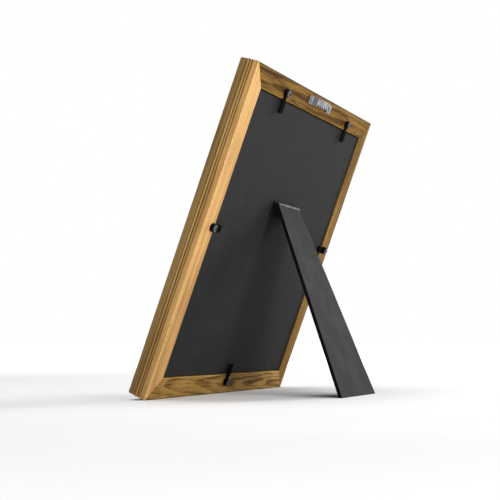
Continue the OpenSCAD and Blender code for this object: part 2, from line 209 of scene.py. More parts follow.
def new_group(name: str, ins: dict[str, object], outs: dict[str, str]) -> tuple[Tree, dict, dict]:
    """Starts a shader node group.

    Args:
        name: Name of the group.
        ins: Default of each input; a vector default has 3 numbers and a colour default 4.
        outs: Socket kind of each output.

    Returns:
        The group's tree, its input sockets by name, and the sockets that take its outputs.
    """
    group = bpy.data.node_groups.new(name, "ShaderNodeTree")
    kinds = {3: "NodeSocketVector", 4: "NodeSocketColor"}
    for key, default in ins.items():
        length = len(default) if isinstance(default, tuple) else 1
        kind = kinds.get(length, "NodeSocketFloat")
        group.interface.new_socket(key, in_out="INPUT", socket_type=kind).default_value = default
    for key, kind in outs.items():
        group.interface.new_socket(key, in_out="OUTPUT", socket_type=kind)
    source = group.nodes.new("NodeGroupInput")
    drain = group.nodes.new("NodeGroupOutput")
    inputs = {key: source.outputs[key] for key in ins}
    outputs = {key: drain.inputs[key] for key in outs}
    return Tree(group), inputs, outputs


@dataclass(frozen=True)
class GrainScales:
    """Fineness of each pattern in the wood, per millimetre along the fibres and across them."""

    drift: Triple = (0.011, 0.05, 0.05)
    age: Triple = (0.004, 0.16, 0.16)
    fibre: Triple = (0.05, 2.4, 2.4)
    streak: Triple = (0.005, 0.75, 0.75)
    pores: Triple = (0.33, 5.0, 5.0)
    blotch: Triple = (0.02, 0.09, 0.09)


GRAIN = GrainScales()


def grain_group() -> bpy.types.NodeTree:
    """Wood grain in millimetres, its fibres along X.

    Returns:
        The group, with the wood's colour, its roughness and its height.
    """
    ins = {
        "Vector": (0.0, 0.0, 0.0), "Light": (0.7, 0.5, 0.3, 1.0), "Dark": (0.3, 0.2, 0.1, 1.0),
        "Ring Spacing": 3.0, "Ring Strength": 0.6, "Warp": 3.0, "Figure": 0.5,
    }
    outs = {"Colour": "NodeSocketColor", "Roughness": "NodeSocketFloat", "Height": "NodeSocketFloat"}
    tree, i, o = new_group("wood_grain", ins, outs)
    slow = tree.mapped(i["Vector"], scale=GRAIN.drift)
    drift = tree.add("ShaderNodeTexNoise", {"Vector": slow, "Scale": 1.0, "Detail": 2.5}).outputs[1]
    drift = tree.vector("SUBTRACT", drift, (0.5, 0.5, 0.5))
    moved = tree.add("ShaderNodeVectorMath", {0: drift, "Scale": i["Warp"]}, operation="SCALE")
    bent = tree.vector("ADD", i["Vector"], moved.outputs[0])
    flat = tree.vector("MULTIPLY", bent, (0.0, 1.0, 1.0))
    reach = tree.add("ShaderNodeVectorMath", {0: flat}, operation="LENGTH").outputs["Value"]
    phase = tree.math("DIVIDE", reach, i["Ring Spacing"])
    ring = tree.math("FRACT", phase)
    late = tree.math("MULTIPLY", tree.ramp(ring, 0.25, 0.86), tree.ramp(ring, 0.99, 0.9))
    age = tree.noise(tree.mapped(i["Vector"], scale=GRAIN.age), 1.0, 1.0)
    late = tree.math("MULTIPLY", late, tree.ramp(age, 0.3, 0.65, 0.35, 1.0))
    late = tree.math("MULTIPLY", late, i["Ring Strength"])
    fibre = tree.noise(tree.mapped(bent, scale=GRAIN.fibre), 1.0, 4.0, 0.62)
    streak = tree.noise(tree.mapped(bent, scale=GRAIN.streak), 1.0, 2.5, 0.55)
    pores = tree.noise(tree.mapped(i["Vector"], scale=GRAIN.pores), 1.0, 1.0)
    pores = tree.ramp(pores, 0.64, 0.74)
    blotch = tree.noise(tree.mapped(i["Vector"], scale=GRAIN.blotch), 1.0, 2.0)
    shade = tree.math("MULTIPLY", tree.ramp(blotch, 0.35, 0.68), i["Figure"])
    shade = tree.math("ADD", shade, late)
    shade = tree.math("ADD", shade, tree.ramp(streak, 0.42, 0.66, 0.0, 0.5))
    shade = tree.math("ADD", shade, tree.ramp(fibre, 0.35, 0.75, -0.10, 0.22))
    shade = tree.math("ADD", shade, tree.math("MULTIPLY", pores, 0.3), clamp=True)
    tree.tree.links.new(tree.mix(shade, i["Light"], i["Dark"]), o["Colour"])
    tree.tree.links.new(tree.ramp(shade, 0.0, 1.0, 0.38, 0.58), o["Roughness"])
    height = tree.math("SUBTRACT", tree.math("MULTIPLY", fibre, 0.5), tree.math("MULTIPLY", pores, 0.6))
    tree.tree.links.new(height, o["Height"])
    return tree.tree


def mottle_group() -> bpy.types.NodeTree:
    """Fine and coarse unevenness of paper, card, paint and plating.

    Returns:
        The group, with a slow mottle from 0 to 1, a fine tooth from 0 to 1, and scattered lint.
    """
    ins = {"Vector": (0.0, 0.0, 0.0), "Fine": 1.0, "Coarse": 1.0}
    outs = {"Mottle": "NodeSocketFloat", "Tooth": "NodeSocketFloat", "Specks": "NodeSocketFloat"}
    tree, i, o = new_group("surface_mottle", ins, outs)
    coarse = tree.add("ShaderNodeTexNoise", {"Vector": i["Vector"], "Scale": i["Coarse"], "Detail": 4.0})
    fine = tree.add("ShaderNodeTexNoise", {"Vector": i["Vector"], "Scale": i["Fine"], "Detail": 3.0})
    size = tree.math("MULTIPLY", i["Fine"], 0.7)
    cells = tree.add("ShaderNodeTexVoronoi", {"Vector": i["Vector"], "Scale": size})
    tree.tree.links.new(tree.ramp(coarse.outputs[0], 0.32, 0.68), o["Mottle"])
    tree.tree.links.new(fine.outputs[0], o["Tooth"])
    tree.tree.links.new(tree.ramp(cells.outputs[0], 0.13, 0.06), o["Specks"])
    return tree.tree


def wear_and_highlight_group() -> bpy.types.NodeTree:
    """Wear along eased edges, and painted highlights where the mask marks them, broken up by noise.

    Returns:
        The group, with the worn colour and the wear mask.
    """
    ins = {
        "Vector": (0.0, 0.0, 0.0), "Edge": 0.0, "Amount": 0.5,
        "Colour": (0.5, 0.5, 0.5, 1.0), "Worn": (0.8, 0.8, 0.8, 1.0),
    }
    outs = {"Colour": "NodeSocketColor", "Mask": "NodeSocketFloat"}
    tree, i, o = new_group("edge_wear_and_highlight", ins, outs)
    patches = tree.ramp(tree.noise(i["Vector"], 0.35, 4.0, 0.6), 0.36, 0.62, 0.4, 1.0)
    mask = tree.math("MULTIPLY", tree.math("MULTIPLY", i["Edge"], patches), i["Amount"], clamp=True)
    tree.tree.links.new(tree.mix(mask, i["Colour"], i["Worn"]), o["Colour"])
    tree.tree.links.new(mask, o["Mask"])
    return tree.tree


class Groups:
    """The shared effects, each made once."""

    def __init__(self) -> None:
        """Builds every group."""
        self.grain = grain_group()
        self.mottle = mottle_group()
        self.wear = wear_and_highlight_group()


GROUPS = Groups()


class Surface(Tree):
    """A material's tree, with its Principled BSDF and coordinates in millimetres."""

    def __init__(self, name: str, system: Matrix | None = None) -> None:
        """Starts a material.

        Args:
            name: Name of the material.
            system: Coordinate system of its patterns; frame coordinates if it is left out.
        """
        self.material = bpy.data.materials.new(name)
        self.material.use_nodes = True
        super().__init__(self.material.node_tree)
        self.shader = self.tree.nodes["Principled BSDF"]
        back = (system or PLACES.frame).inverted()
        scale = (1 / MM,) * 3
        source = self.add("ShaderNodeTexCoord").outputs["Object"]
        move = tuple(v / MM for v in back.to_translation())
        self.place = self.mapped(source, move, tuple(back.to_euler()), scale)

    def group(self, group: bpy.types.NodeTree, ins: dict) -> bpy.types.Node:
        """Places a shared effect."""
        node = self.add("ShaderNodeGroup")
        node.node_tree = group
        for key, value in ins.items():
            if isinstance(value, Socket):
                self.tree.links.new(value, node.inputs[key])
            else:
                node.inputs[key].default_value = value
        return node

    def mask(self, name: str) -> Socket:
        """One of the mesh's own masks."""
        return self.add("ShaderNodeAttribute", attribute_name=name).outputs["Fac"]

    def set(self, **values: object) -> None:
        """Sets or links inputs of the shader; an underscore stands for a space."""
        for key, value in values.items():
            target = self.shader.inputs[key.replace("_", " ")]
            if isinstance(value, Socket):
                self.tree.links.new(value, target)
            else:
                target.default_value = (*value, 1.0)[:4] if isinstance(value, tuple) else value

    def relief(self, height: Socket, depth: float, strength: float = 1.0) -> None:
        """Bumps the surface by height times depth, in millimetres."""
        ins = {"Height": height, "Distance": depth * MM, "Strength": strength}
        self.set(Normal=self.add("ShaderNodeBump", ins).outputs[0])


# ---------------------------------------------------------------------------------------------
# Finishes


@dataclass(frozen=True)
class Wood:
    """Lacquered hardwood whose fibres run along one direction of the frame."""

    name: str
    light: Colour
    dark: Colour
    axis: Axis
    pith: tuple[float, float] = (40.0, 25.0)
    tilt: tuple[float, float] = (0.4, 0.4)
    offset: float = 0.0
    ring_spacing: float = 2.6
    ring_strength: float = 0.5
    warp: float = 3.0
    figure: float = 0.35
    coat: float = 0.02
    gloss: float = 0.05
    # On the moulding the worn mask holds only painted highlights: wear and the three values below set
    # their strength, colour and roughness.
    wear: float = 0.9
    highlight_gain: float = 1.2
    highlight_lift: float = 0.04
    highlight_rough: float = 0.12
    coat_rough: float = 0.3
    depth: float = 0.05
    # Colour multiplied into the wood as painted shade on the front band and in the recess.
    painted_shade: Colour = (0.31, 0.37, 0.37)

    def build(self) -> bpy.types.Material:
        """Makes the material.

        Returns:
            The wood with grain, blotches, pores, painted shade, painted highlights on marked edges and a
            satin coat.
        """
        surface = Surface(self.name)
        quarter = math.pi / 2 if self.axis is Axis.UPRIGHT else 0.0
        along = surface.mapped(surface.place, turn=(0.0, quarter, 0.0))
        tilt = (0.0, math.radians(self.tilt[0]), math.radians(self.tilt[1]))
        move = (self.offset, *self.pith)
        along = surface.mapped(along, move, tilt)
        grain = surface.group(GROUPS.grain, {
            "Vector": along, "Light": (*self.light, 1.0), "Dark": (*self.dark, 1.0),
            "Ring Spacing": self.ring_spacing, "Ring Strength": self.ring_strength,
            "Warp": self.warp, "Figure": self.figure,
        })
        # Painted highlight colour, lighter than the wood.
        worn = tuple(min(1.0, self.highlight_gain * c + self.highlight_lift) for c in self.light)
        wear = surface.group(GROUPS.wear, {
            "Vector": surface.place, "Edge": surface.mask(WEAR_AND_HIGHLIGHT_MASK), "Amount": self.wear,
            "Colour": self.shaded(surface, grain.outputs["Colour"]), "Worn": (*worn, 1.0),
        })
        dull = surface.math("MULTIPLY", wear.outputs["Mask"], self.highlight_rough)
        rough = surface.math("ADD", grain.outputs["Roughness"], dull)
        surface.set(Base_Color=wear.outputs["Colour"], Roughness=rough, Coat_Weight=self.coat,
                    Coat_Roughness=self.coat_rough, Specular_IOR_Level=self.gloss)
        surface.relief(grain.outputs["Height"], self.depth)
        return surface.material

    def shaded(self, surface: Surface, colour: Socket) -> Socket:
        """Darkens the colour as painted shade in the recess and on the front band."""
        dark = surface.mix(1.0, colour, self.painted_shade, "MULTIPLY")
        return surface.mix(surface.mask(SHADE_AND_DARK_EDGE_MASK), colour, dark)


@dataclass(frozen=True)
class Coated:
    """Paper, card or board with a mottled, fibrous face and worn edges."""

    name: str
    colour: Colour
    spot: Colour
    worn: Colour
    roughness: float = 0.75
    fine: float = 2.2
    coarse: float = 0.05
    tooth_share: float = 0.7
    uneven: tuple[float, float] = (-0.06, 0.08)
    lint: float = 0.3
    depth: float = 0.04
    gloss: float = 0.05
    wear: float = 0.4
    rim: Colour | None = None
    on_leg: bool = False

    def build(self) -> bpy.types.Material:
        """Makes the material.

        Returns:
            The coated board with mottle, tooth, lint and worn edges.
        """
        surface = Surface(self.name, PLACES.leg if self.on_leg else None)
        mottle = surface.group(GROUPS.mottle, {
            "Vector": surface.place, "Fine": self.fine, "Coarse": self.coarse,
        })
        tooth = surface.ramp(mottle.outputs["Tooth"], 0.3, 0.7)
        slow = surface.math("MULTIPLY", mottle.outputs["Mottle"], 1 - self.tooth_share)
        share = surface.math("MULTIPLY_ADD", tooth, self.tooth_share, slow)
        colour = surface.mix(share, self.colour, self.spot)
        specks = surface.math("MULTIPLY", mottle.outputs["Specks"], self.lint)
        colour = surface.mix(specks, colour, self.worn)
        if self.rim is not None:
            colour = surface.mix(surface.mask(SHADE_AND_DARK_EDGE_MASK), colour, self.rim)
        wear = surface.group(GROUPS.wear, {
            "Vector": surface.place, "Edge": surface.mask(WEAR_AND_HIGHLIGHT_MASK), "Amount": self.wear,
            "Colour": colour, "Worn": (*self.worn, 1.0),
        })
        smooth, dull = (self.roughness + step for step in self.uneven)
        rough = surface.ramp(mottle.outputs["Mottle"], 0.0, 1.0, smooth, dull)
        surface.set(Base_Color=wear.outputs["Colour"], Roughness=rough, Specular_IOR_Level=self.gloss)
        surface.relief(mottle.outputs["Tooth"], self.depth)
        return surface.material


@dataclass(frozen=True)
class Metal:
    """Plated or painted sheet metal with fine scratches and bright worn edges."""

    name: str
    colour: Colour
    spot: Colour
    worn: Colour
    roughness: float = 0.35
    metallic: float = 1.0
    worn_metal: float = 1.0
    wear: float = 0.7
    gloss: float = 0.5
    fine: float = 2.6
    coarse: float = 0.2
    uneven: tuple[float, float] = (-0.06, 0.1)
    scratches: Triple = (0.25, 6.0, 6.0)
    scratch_rough: float = 0.12
    scratch_depth: float = 0.6
    depth: float = 0.01
    on_leg: bool = False
    lacquer_above: float | None = None
    lacquer_blur: float = 0.05
    lacquer: Colour = (0.010, 0.010, 0.011)
    rim: Colour | None = None

    def build(self) -> bpy.types.Material:
        """Makes the material.

        Returns:
            The metal with a mottled finish, scratches and worn edges.
        """
        surface = Surface(self.name, PLACES.leg if self.on_leg else None)
        mottle = surface.group(GROUPS.mottle, {
            "Vector": surface.place, "Fine": self.fine, "Coarse": self.coarse,
        })
        lines = surface.noise(surface.mapped(surface.place, scale=self.scratches), 1.0, 2.0)
        scratch = surface.ramp(lines, 0.62, 0.72)
        colour = surface.mix(mottle.outputs["Mottle"], self.colour, self.spot)
        if self.rim is not None:
            colour = surface.mix(surface.mask(SHADE_AND_DARK_EDGE_MASK), colour, self.rim)
        wear = surface.group(GROUPS.wear, {
            "Vector": surface.place, "Edge": surface.mask(WEAR_AND_HIGHLIGHT_MASK), "Amount": self.wear,
            "Colour": colour, "Worn": (*self.worn, 1.0),
        })
        mask = wear.outputs["Mask"]
        smooth, dull = (self.roughness + step for step in self.uneven)
        rough = surface.ramp(mottle.outputs["Mottle"], 0.0, 1.0, smooth, dull)
        rough = surface.math("MULTIPLY_ADD", scratch, self.scratch_rough, rough)
        tone = wear.outputs["Colour"]
        if self.lacquer_above is not None:
            rise = surface.add("ShaderNodeSeparateXYZ", {0: surface.place}).outputs[2]
            low, high = self.lacquer_above - self.lacquer_blur, self.lacquer_above + self.lacquer_blur
            painted = surface.ramp(rise, low, high)
            tone = surface.mix(painted, tone, self.lacquer)
            surface.set(Metallic=surface.ramp(painted, 0.0, 1.0, self.metallic, 0.0))
        elif self.metallic == self.worn_metal:
            surface.set(Metallic=self.metallic)
        else:
            surface.set(Metallic=surface.ramp(mask, 0.0, 1.0, self.metallic, self.worn_metal))
        surface.set(Base_Color=tone, Roughness=rough, Specular_IOR_Level=self.gloss)
        height = surface.math("MULTIPLY_ADD", scratch, -self.scratch_depth, mottle.outputs["Tooth"])
        surface.relief(height, self.depth)
        return surface.material


@dataclass(frozen=True)
class Glass:
    """Clear float glass with a faint green tint and a little dust, which lets lamps through."""

    name: str = "clear_float_glass"
    tint: Colour = (0.93, 0.98, 0.95)
    index: float = 1.5
    roughness: tuple[float, float] = (0.004, 0.03)
    dust: float = 0.05

    def build(self) -> bpy.types.Material:
        """Makes the material.

        Returns:
            The glass, with smears and dust that only change its roughness and relief.
        """
        surface = Surface(self.name)
        mottle = surface.group(GROUPS.mottle, {
            "Vector": surface.place, "Fine": 0.5, "Coarse": 0.02,
        })
        rough = surface.ramp(mottle.outputs["Mottle"], 0.2, 1.0, *self.roughness)
        rough = surface.math("MULTIPLY_ADD", mottle.outputs["Specks"], self.dust, rough)
        surface.set(Base_Color=self.tint, Roughness=rough, IOR=self.index, Transmission_Weight=1.0)
        surface.relief(mottle.outputs["Tooth"], 0.002, 0.3)
        lamp = surface.add("ShaderNodeLightPath").outputs["Is Shadow Ray"]
        clear = surface.add("ShaderNodeBsdfTransparent").outputs[0]
        ins = {0: lamp, 1: surface.shader.outputs[0], 2: clear}
        seen = surface.add("ShaderNodeMixShader", ins).outputs[0]
        surface.tree.links.new(seen, surface.tree.nodes["Material Output"].inputs["Surface"])
        return surface.material


@dataclass(frozen=True)
class Print:
    """Semi-matt photo paper with a plain view of hills under an open sky."""

    name: str = "photo_paper"
    zenith: Colour = (0.16, 0.34, 0.52)
    horizon: Colour = (0.72, 0.74, 0.70)
    far: Colour = (0.27, 0.36, 0.40)
    middle: Colour = (0.14, 0.24, 0.17)
    near: Colour = (0.20, 0.20, 0.08)
    cloud: Colour = (0.86, 0.86, 0.84)
    sky: tuple[float, float] = (105.0, 175.0)
    ridges: Triple = (118.0, 104.0, 88.0)
    swell: float = 34.0
    sunlit: float = 1.7

    def build(self) -> bpy.types.Material:
        """Makes the material.

        Returns:
            The printed paper, its picture drawn from noise in frame coordinates.
        """
        surface = Surface(self.name)
        parts = surface.add("ShaderNodeSeparateXYZ", {0: surface.place})
        across, rise = parts.outputs[0], parts.outputs[2]
        colour = surface.mix(surface.ramp(rise, *self.sky), self.horizon, self.zenith)
        clouds = surface.noise(surface.mapped(surface.place, scale=(0.02, 0.0, 0.06)), 1.0, 5.0, 0.6)
        veil = surface.math("MULTIPLY", surface.ramp(clouds, 0.5, 0.72), 0.6)
        colour = surface.mix(veil, colour, self.cloud)
        tones = (self.far, self.middle, self.near)
        for number, (level, tone) in enumerate(zip(self.ridges, tones)):
            line = surface.add("ShaderNodeCombineXYZ", {0: across, 1: 31.0 * number}).outputs[0]
            swell = surface.noise(line, 0.016 + 0.006 * number, 4.0, 0.5)
            top = surface.math("MULTIPLY_ADD", swell, self.swell, level - self.swell / 2)
            inside = surface.ramp(surface.math("SUBTRACT", top, rise), -0.3, 0.3)
            trees = surface.noise(surface.place, 0.35 + 0.1 * number, 4.0, 0.65)
            lit = tuple(self.sunlit * c for c in tone)
            ground = surface.mix(surface.ramp(trees, 0.35, 0.7), tone, lit)
            colour = surface.mix(inside, colour, ground)
        mottle = surface.group(GROUPS.mottle, {
            "Vector": surface.place, "Fine": 3.0, "Coarse": 0.1,
        })
        rough = surface.ramp(mottle.outputs["Mottle"], 0.0, 1.0, 0.32, 0.4)
        surface.set(Base_Color=colour, Roughness=rough)
        surface.relief(mottle.outputs["Tooth"], 0.01)
        return surface.material


# ---------------------------------------------------------------------------------------------
# Shapes


def rounded(corners: Sequence[Triple], steps: int = 4) -> list[tuple[float, float]]:
    """Outline with each corner rounded by its own radius.

    Args:
        corners: Each corner's two coordinates and its radius, which may be 0.
        steps: Number of pieces in a rounded corner.

    Returns:
        Points of the outline.
    """
    points: list[tuple[float, float]] = []
    count = len(corners)
    for number, (x, y, radius) in enumerate(corners):
        here = Vector((x, y))
        if radius <= 0:
            points.append((x, y))
            continue
        to_last = (Vector(corners[number - 1][:2]) - here).normalized()
        to_next = (Vector(corners[(number + 1) % count][:2]) - here).normalized()
        half = to_last.angle(to_next) / 2
        centre = here + (to_last + to_next).normalized() * (radius / math.sin(half))
        first = here + to_last * (radius / math.tan(half)) - centre
        last = here + to_next * (radius / math.tan(half)) - centre
        sweep = first.angle_signed(last)
        for step in range(steps + 1):
            spoke = Matrix.Rotation(-sweep * step / steps, 2) @ first
            points.append(tuple(centre + spoke))
    return points


def arc(centre: tuple[float, float], radius: float, start: float, end: float,
        steps: int) -> list[tuple[float, float]]:
    """Points on a circle from one angle to another, in degrees."""
    angles = (math.radians(start + (end - start) * n / steps) for n in range(steps + 1))
    return [(centre[0] + radius * math.cos(a), centre[1] + radius * math.sin(a)) for a in angles]


class Shape:
    """A mesh under construction that becomes one finished piece."""

    weld: float = 0.002 * MM
    flat: float = math.radians(0.5)
    sharp_above: float = math.radians(38.0)

    def __init__(self) -> None:
        """Starts an empty mesh with its mask of eased edges."""
        self.bm = bmesh.new()
        self.take_masks()

    @classmethod
    def copied(cls, node: str) -> "Shape":
        """Starts from a CAD node's shape, its flat faces whole again.

        Args:
            node: Name of the CAD node.

        Returns:
            The shape in the row frame.
        """
        shape = cls()
        shape.bm.from_mesh(frame["nodes"][node].data)
        shape.take_masks()
        bmesh.ops.remove_doubles(shape.bm, verts=shape.bm.verts, dist=cls.weld)
        bmesh.ops.dissolve_limit(shape.bm, angle_limit=cls.flat, verts=shape.bm.verts,
                                 edges=shape.bm.edges, delimit=set())
        return shape

    def take_masks(self) -> None:
        """Finds or adds the masks of worn edges and painted highlights, and of painted shade and dark
        painted edges.
        """
        layers = self.bm.faces.layers.float
        self.edge = layers.get(WEAR_AND_HIGHLIGHT_MASK) or layers.new(WEAR_AND_HIGHLIGHT_MASK)
        self.tone = layers.get(SHADE_AND_DARK_EDGE_MASK) or layers.new(SHADE_AND_DARK_EDGE_MASK)

    def prism(self, outline: Iterable[tuple[float, float]], length: float) -> None:
        """Extrudes an outline drawn in y and z along x, centred on x = 0."""
        verts = [self.bm.verts.new((-length / 2, y, z)) for y, z in outline]
        face = self.bm.faces.new(verts)
        made = bmesh.ops.extrude_face_region(self.bm, geom=[face])
        moved = [g for g in made["geom"] if isinstance(g, bmesh.types.BMVert)]
        bmesh.ops.translate(self.bm, verts=moved, vec=(length, 0, 0))
        bmesh.ops.recalc_face_normals(self.bm, faces=self.bm.faces)

    def ease(self, width: float, segments: int, sharp: float,
             chosen: Callable[[bmesh.types.BMEdge], bool] | None = None, worn: bool = True) -> None:
        """Rounds the sharp edges and marks the new faces.

        Args:
            width: Width of the rounding, in the mesh's own units.
            segments: Faces across it.
            sharp: Least angle of an edge that is rounded, in degrees.
            chosen: Picks among those edges, or all of them if it is left out.
            worn: Whether the new faces are marked as worn, or else as darker.
        """
        edges = [e for e in self.bm.edges if len(e.link_faces) == 2
                 and e.calc_face_angle(0.0) > math.radians(sharp) and (chosen is None or chosen(e))]
        made = bmesh.ops.bevel(self.bm, geom=edges, offset=width, offset_type="OFFSET",
                               segments=segments, profile=0.5, affect="EDGES", material=-1,
                               clamp_overlap=True)
        for face in made["faces"]:
            face[self.edge if worn else self.tone] = 1.0

    def finish(self, name: str, material: bpy.types.Material, body: Body, slot: str,
               nodes: Sequence[str], place: Matrix | None = None) -> bpy.types.Object:
        """Turns the mesh into a piece of the object.

        Args:
            name: Name of the piece.
            material: Its finish.
            body: CAD body that it rides on.
            slot: Name of the record's material slot; not used.
            nodes: CAD nodes that it stands for.
            place: Brings the mesh into the row frame, if it isn't there yet.

        Returns:
            The finished object.
        """
        self.bm.transform(place or Matrix.Identity(4))
        bmesh.ops.recalc_face_normals(self.bm, faces=self.bm.faces)
        for face in self.bm.faces:
            face.smooth = True
        mesh = bpy.data.meshes.new(name)
        self.bm.to_mesh(mesh)
        self.bm.free()
        mesh.materials.clear()
        mesh.materials.append(material)
        mesh.set_sharp_from_angle(angle=self.sharp_above)
        piece = bpy.data.objects.new(name, mesh)
        bpy.context.scene.collection.objects.link(piece)
        soft = piece.modifiers.new("even_normals", "WEIGHTED_NORMAL")
        soft.keep_sharp = True
        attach(piece, body.value)
        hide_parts(*nodes)
        log.info("%s: %d faces", name, len(mesh.polygons))
        return piece


# ---------------------------------------------------------------------------------------------
# Sub-assemblies


@dataclass(frozen=True)
class Profile:
    """Section of the moulding in millimetres, from its outer edge inward and from front to back."""

    depth: float = 14.3
    face: float = 21.0
    back: float = 15.2
    lip: float = 4.8
    front_chamfer: float = 0.6
    band_fall: float = 0.6
    band_step: float = 0.35
    band_depth: float = 5.2
    recess: float = 0.8
    recess_end: float = 9.9
    bead: float = 0.95
    beads: tuple[float, float] = (6.35, 8.55)
    edge: float = 0.8
    face_level: float = 8.0
    face_fall: float = 1.4
    ease: float = 0.3
    # Painted shade: a fixed share on the front band, and in the recess a share that grows toward its
    # bottom.
    band_shade: float = 0.76
    recess_shade: tuple[float, float] = (0.15, 1.1)
    bead_steps: int = 10

    def outline(self) -> list[tuple[float, float]]:
        """Draws the section.

        Returns:
            Points as (y, z): y from the back face, z inward from the outer edge.
        """
        slope = (self.band_fall - self.band_step) / self.band_depth
        chamfer = self.front_chamfer
        small = self.ease / 3
        corners = [
            (self.band_fall + chamfer, 0.0, self.ease),
            (self.band_fall - slope * chamfer, chamfer, self.ease),
            (self.band_step, self.band_depth, small),
            (self.recess, self.band_depth, 0.0),
        ]
        points = rounded([*corners, (self.recess, self.recess_end, 0.0),
                          (self.face, self.recess_end, 0.0)])[:-2]
        half = math.degrees(math.acos((self.bead - self.recess) / self.bead))
        for middle in self.beads:
            points += arc((self.bead, middle), self.bead, 180 + half, 180 - half, self.bead_steps)
        rest = [
            (self.recess, self.recess_end, 0.0),
            (0.0, self.recess_end, small),
            (0.0, self.depth, self.edge),
            (self.back, self.depth, self.ease),
            (self.back, self.lip, 0.0),
            (self.face, self.lip, self.ease),
            (self.face, self.face_fall, self.ease),
            (self.face_level, 0.0, 2 * self.ease),
        ]
        points += rounded([*rest, (corners[0][0], 0.0, 0.0)])[:-1]
        return [(w - self.depth, u) for u, w in points]

    def on_corner(self, inward: float, back: float) -> bool:
        """Whether a place is on the rounded outer corner or the rabbet's edge, at the back."""
        outer = inward < self.edge and back > self.depth - self.edge
        rabbet = self.back > inward > self.back - self.ease and back > self.depth - self.ease
        return outer or rabbet

    def painted_shade(self, inward: float, back: float) -> float:
        """How much painted shade darkens a place on the section.

        Args:
            inward: Distance from the outer edge.
            back: Distance from the front face.

        Returns:
            A share from 0 on flat faces to 1 in the bottom of the recess.
        """
        if inward > 2 * self.recess or back > self.recess_end:
            return 0.0
        if back < self.band_depth:
            return self.band_shade
        least, gain = self.recess_shade
        return min(1.0, least + gain * inward / self.recess)


@dataclass
class Moulding:
    """The four mitred lengths of moulding."""

    profile: Profile = field(default_factory=Profile)
    mitre_ease: float = 0.12
    mitre_sharp: float = 20.0
    sides: tuple[str, ...] = ("rail_bottom", "stile_right", "rail_top", "stile_left")
    # Lengths whose rounded outer back corner gets a painted highlight.
    highlit_corners: tuple[str, ...] = ("stile_right",)

    def build(self, woods: dict[str, bpy.types.Material]) -> None:
        """Makes each length in its place.

        Args:
            woods: Material of each length, by CAD node.
        """
        width = 2 * PLACES.box("stile_right", PLACES.frame)[1].x / MM
        height = PLACES.box("rail_top", PLACES.frame)[1].z / MM
        for side, node in enumerate(self.sides):
            low, high = PLACES.box(node, PLACES.frame)
            level = side % 2 == 0
            half = (high - low)[0 if level else 2] / MM / 2
            shape = Shape()
            shape.prism(self.profile.outline(), 2 * half)
            for vert in shape.bm.verts:
                vert.co.x = math.copysign(half - vert.co.z, vert.co.x)
            for face in shape.bm.faces:
                centre = face.calc_center_median()
                inward, back = centre.z, centre.y + self.profile.depth
                # Painted shade on the front band, which faces a little away from the light, and in the
                # recess.
                face[shape.tone] = self.profile.painted_shade(inward, back)
                # Painted highlight on the rabbet edges and on the right stile's outer back corner;
                # painted shade on the other lengths' outer back corners.
                if self.profile.on_corner(inward, back):
                    light = node in self.highlit_corners or inward > self.profile.recess
                    face[shape.edge if light else shape.tone] = 1.0
            shape.ease(self.mitre_ease, 2, self.mitre_sharp, self.on_mitre, worn=False)
            reach = (height if level else width) / 2
            place = (PLACES.frame @ Matrix.Scale(MM, 4) @ Matrix.Translation((0, 0, height / 2))
                     @ Matrix.Rotation(-side * math.pi / 2, 4, "Y") @ Matrix.Translation((0, 0, -reach)))
            shape.finish(f"moulding.{node}", woods[node], Body.FRAME, f"oak_{node}", [node], place)

    @staticmethod
    def on_mitre(edge: bmesh.types.BMEdge) -> bool:
        """Whether an edge lies round one of the two mitred ends."""
        a, b = (v.co for v in edge.verts)
        return a.x * b.x > 0


@dataclass(frozen=True)
class Eased:
    """A CAD piece made again with soft, worn edges."""

    node: str
    slot: str
    body: Body = Body.FRAME
    width: float = 0.12
    segments: int = 3
    sharp: float = 35.0
    # ring marks a band round a screw's axis on its head: worn metal and a painted highlight on the head's
    # shoulder.
    ring: tuple[float, float] | None = None
    # rim darkens faces by how far they turn from the back: painted shade on the hanger, the black painted
    # edge on the leg.
    rim: bool = False
    rim_gain: float = 4.0

    def build(self, material: bpy.types.Material) -> None:
        """Makes the piece from its CAD node, with the given finish."""
        shape = Shape.copied(self.node)
        # Faces turned from the back get the darker rim colour: on the hanger this is painted shade on its
        # sides and slopes; on the leg it is its black painted edge.
        if self.rim:
            place = PLACES.leg if self.body is Body.LEG else PLACES.frame
            out = place.to_3x3() @ Vector((0, 1, 0))
            for face in shape.bm.faces:
                face.normal_update()
                face[shape.tone] = min(1.0, self.rim_gain * (1 - abs(face.normal.dot(out))))
        shape.ease(self.width * MM, self.segments, self.sharp)
        # Worn metal and a painted highlight: a ring on each screw head is marked worn.
        if self.ring is not None:
            for face in shape.bm.faces:
                if self.ring[0] < self.off_axis(face.calc_center_median()) / MM < self.ring[1]:
                    face[shape.edge] = 1.0
        shape.finish(f"{self.node}.eased", material, self.body, self.slot, [self.node])

    @staticmethod
    def off_axis(place: Vector) -> float:
        """Distance of a place from the nearest turn button's axis."""
        turns = [j for name, j in PLACES.joints.items() if name.startswith("turn_")]
        spokes = ((place - Vector(j["pos_m"])).cross(Vector(j["axis"])) for j in turns)
        return min(spoke.length for spoke in spokes)


